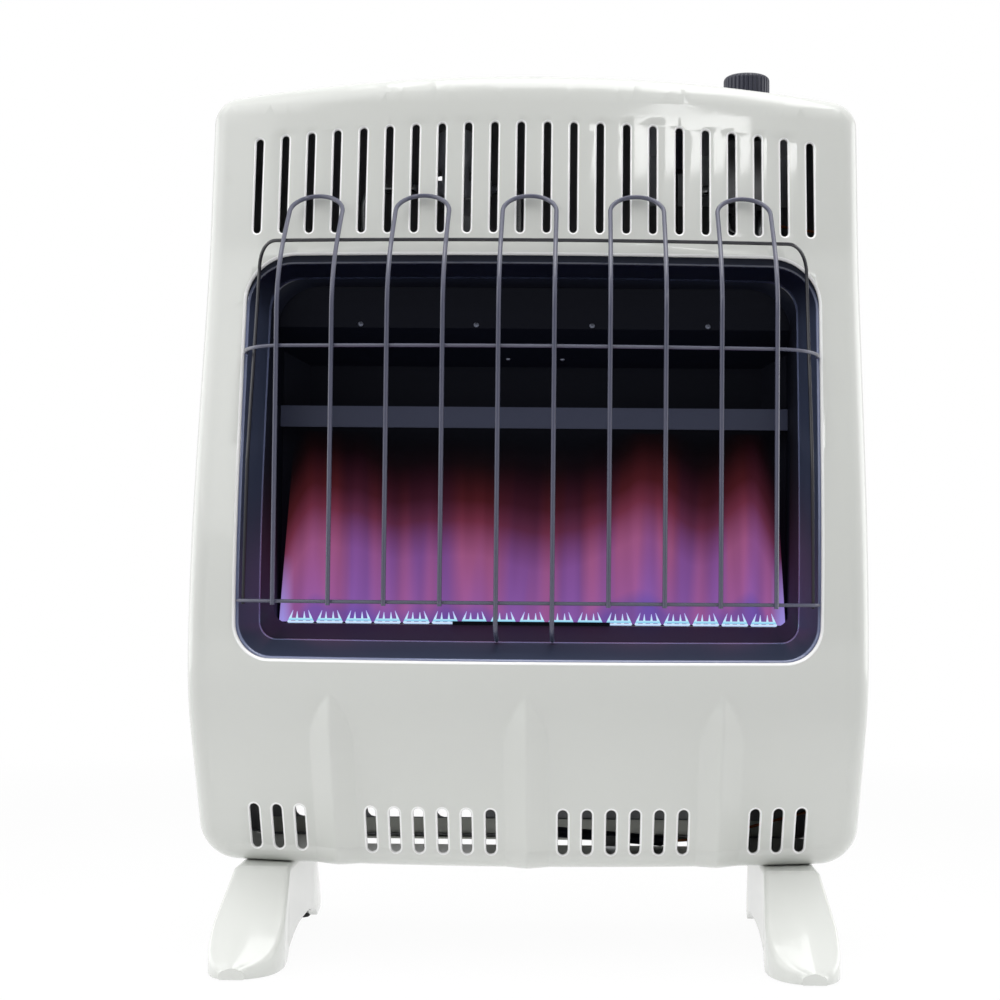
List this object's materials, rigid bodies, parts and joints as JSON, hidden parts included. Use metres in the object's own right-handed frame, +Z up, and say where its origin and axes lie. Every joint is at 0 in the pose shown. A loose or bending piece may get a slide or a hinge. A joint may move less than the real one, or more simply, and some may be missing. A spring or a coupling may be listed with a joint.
{
  "type": "gas room heater",
  "caption": "Free-standing gas room heater with a bellied slotted casing, a black-framed firebox window behind a wire guard, a burner bar, a top control knob and two arched feet",
  "frame": {"origin": "centre of the footprint, on the floor under the foot pads", "axes": "+Z up, -Y towards the viewer of the front, +X to the right seen from the front"},
  "size_m": [0.47, 0.254, 0.6445],
  "materials": {
    "cream_enamel": "glossy warm off-white powder coat",
    "black_enamel": "satin black heat-proof enamel",
    "grey_primer": "plain dark grey coated sheet",
    "guard_wire": "black powder-coated steel wire",
    "aluminised_steel": "heat-dulled aluminised sheet",
    "zinc_plate": "zinc-plated sheet",
    "brass": "turned brass",
    "aluminium_tube": "drawn aluminium tube",
    "die_cast": "as-cast, slightly satin",
    "copper": "bright copper",
    "ceramic": "white glazed ceramic",
    "black_plastic": "moulded black, low sheen",
    "rubber": "matt black rubber",
    "silicone_lead": "matt silicone sleeve"
  },
  "bodies": {
    "heater": {"front_cover": "cream_enamel", "rear_panel": "grey_primer", "rear_rail": "black_enamel", "window_bezel": "black_enamel", "firebox_shell": "black_enamel", "left_firebox_bracket": "zinc_plate", "right_firebox_bracket": "zinc_plate", "deflector_bar": "black_enamel", "burner_tube": "aluminised_steel", "left_burner_foot": "zinc_plate", "right_burner_foot": "zinc_plate", "mixer_tube": "aluminised_steel", "injector": "brass", "injector_bracket": "zinc_plate", "pilot_shield": "black_enamel", "pilot_bracket": "zinc_plate", "pilot_burner": "brass", "pilot_electrode": "ceramic", "thermocouple": "copper", "thermocouple_lead": "copper", "guard_hairpin_1": "guard_wire", "guard_hairpin_2": "guard_wire", "guard_hairpin_3": "guard_wire", "guard_hairpin_4": "guard_wire", "guard_hairpin_5": "guard_wire", "guard_frame": "guard_wire", "guard_middle_rail": "guard_wire", "guard_bottom_rail": "guard_wire", "gas_valve": "die_cast", "valve_nut": "zinc_plate", "control_panel": "zinc_plate", "igniter_body": "black_plastic", "ignition_lead": "silicone_lead", "pressure_regulator": "die_cast", "regulator_bracket": "zinc_plate", "inlet_fitting": "brass", "inlet_bracket": "zinc_plate", "inlet_pipe": "aluminium_tube", "supply_pipe": "aluminium_tube", "burner_pipe": "aluminium_tube", "pilot_pipe": "aluminium_tube", "thermostat_bulb": "black_plastic", "capillary_tube": "copper", "bulb_clip": "zinc_plate", "left_foot": "cream_enamel", "right_foot": "cream_enamel", "left_foot_toe_pad": "rubber", "left_foot_heel_pad": "rubber", "right_foot_toe_pad": "rubber", "right_foot_heel_pad": "rubber"},
    "valve_plug": {"valve_plug": "brass"},
    "knob": {"valve_stem": "zinc_plate", "control_knob": "black_plastic"},
    "igniter_button": {"igniter_button": "black_plastic"}
  },
  "joints": [
    {"name": "knob_turn", "type": "hinge", "parent": "heater", "child": "valve_plug", "pos_m": [0.158, 0.026, 0.6], "axis": [0, 0, 1], "range_deg": [0, 240]},
    {"name": "knob_push", "type": "slide", "parent": "valve_plug", "child": "knob", "axis": [0, 0, -1], "range_m": [0, 0.0045], "stiffness_N_per_m": 800, "springref_m": -0.006},
    {"name": "igniter_push", "type": "slide", "parent": "heater", "child": "igniter_button", "axis": [0, 0, -1], "range_m": [0, 0.006], "stiffness_N_per_m": 600, "springref_m": -0.004}
  ]
}
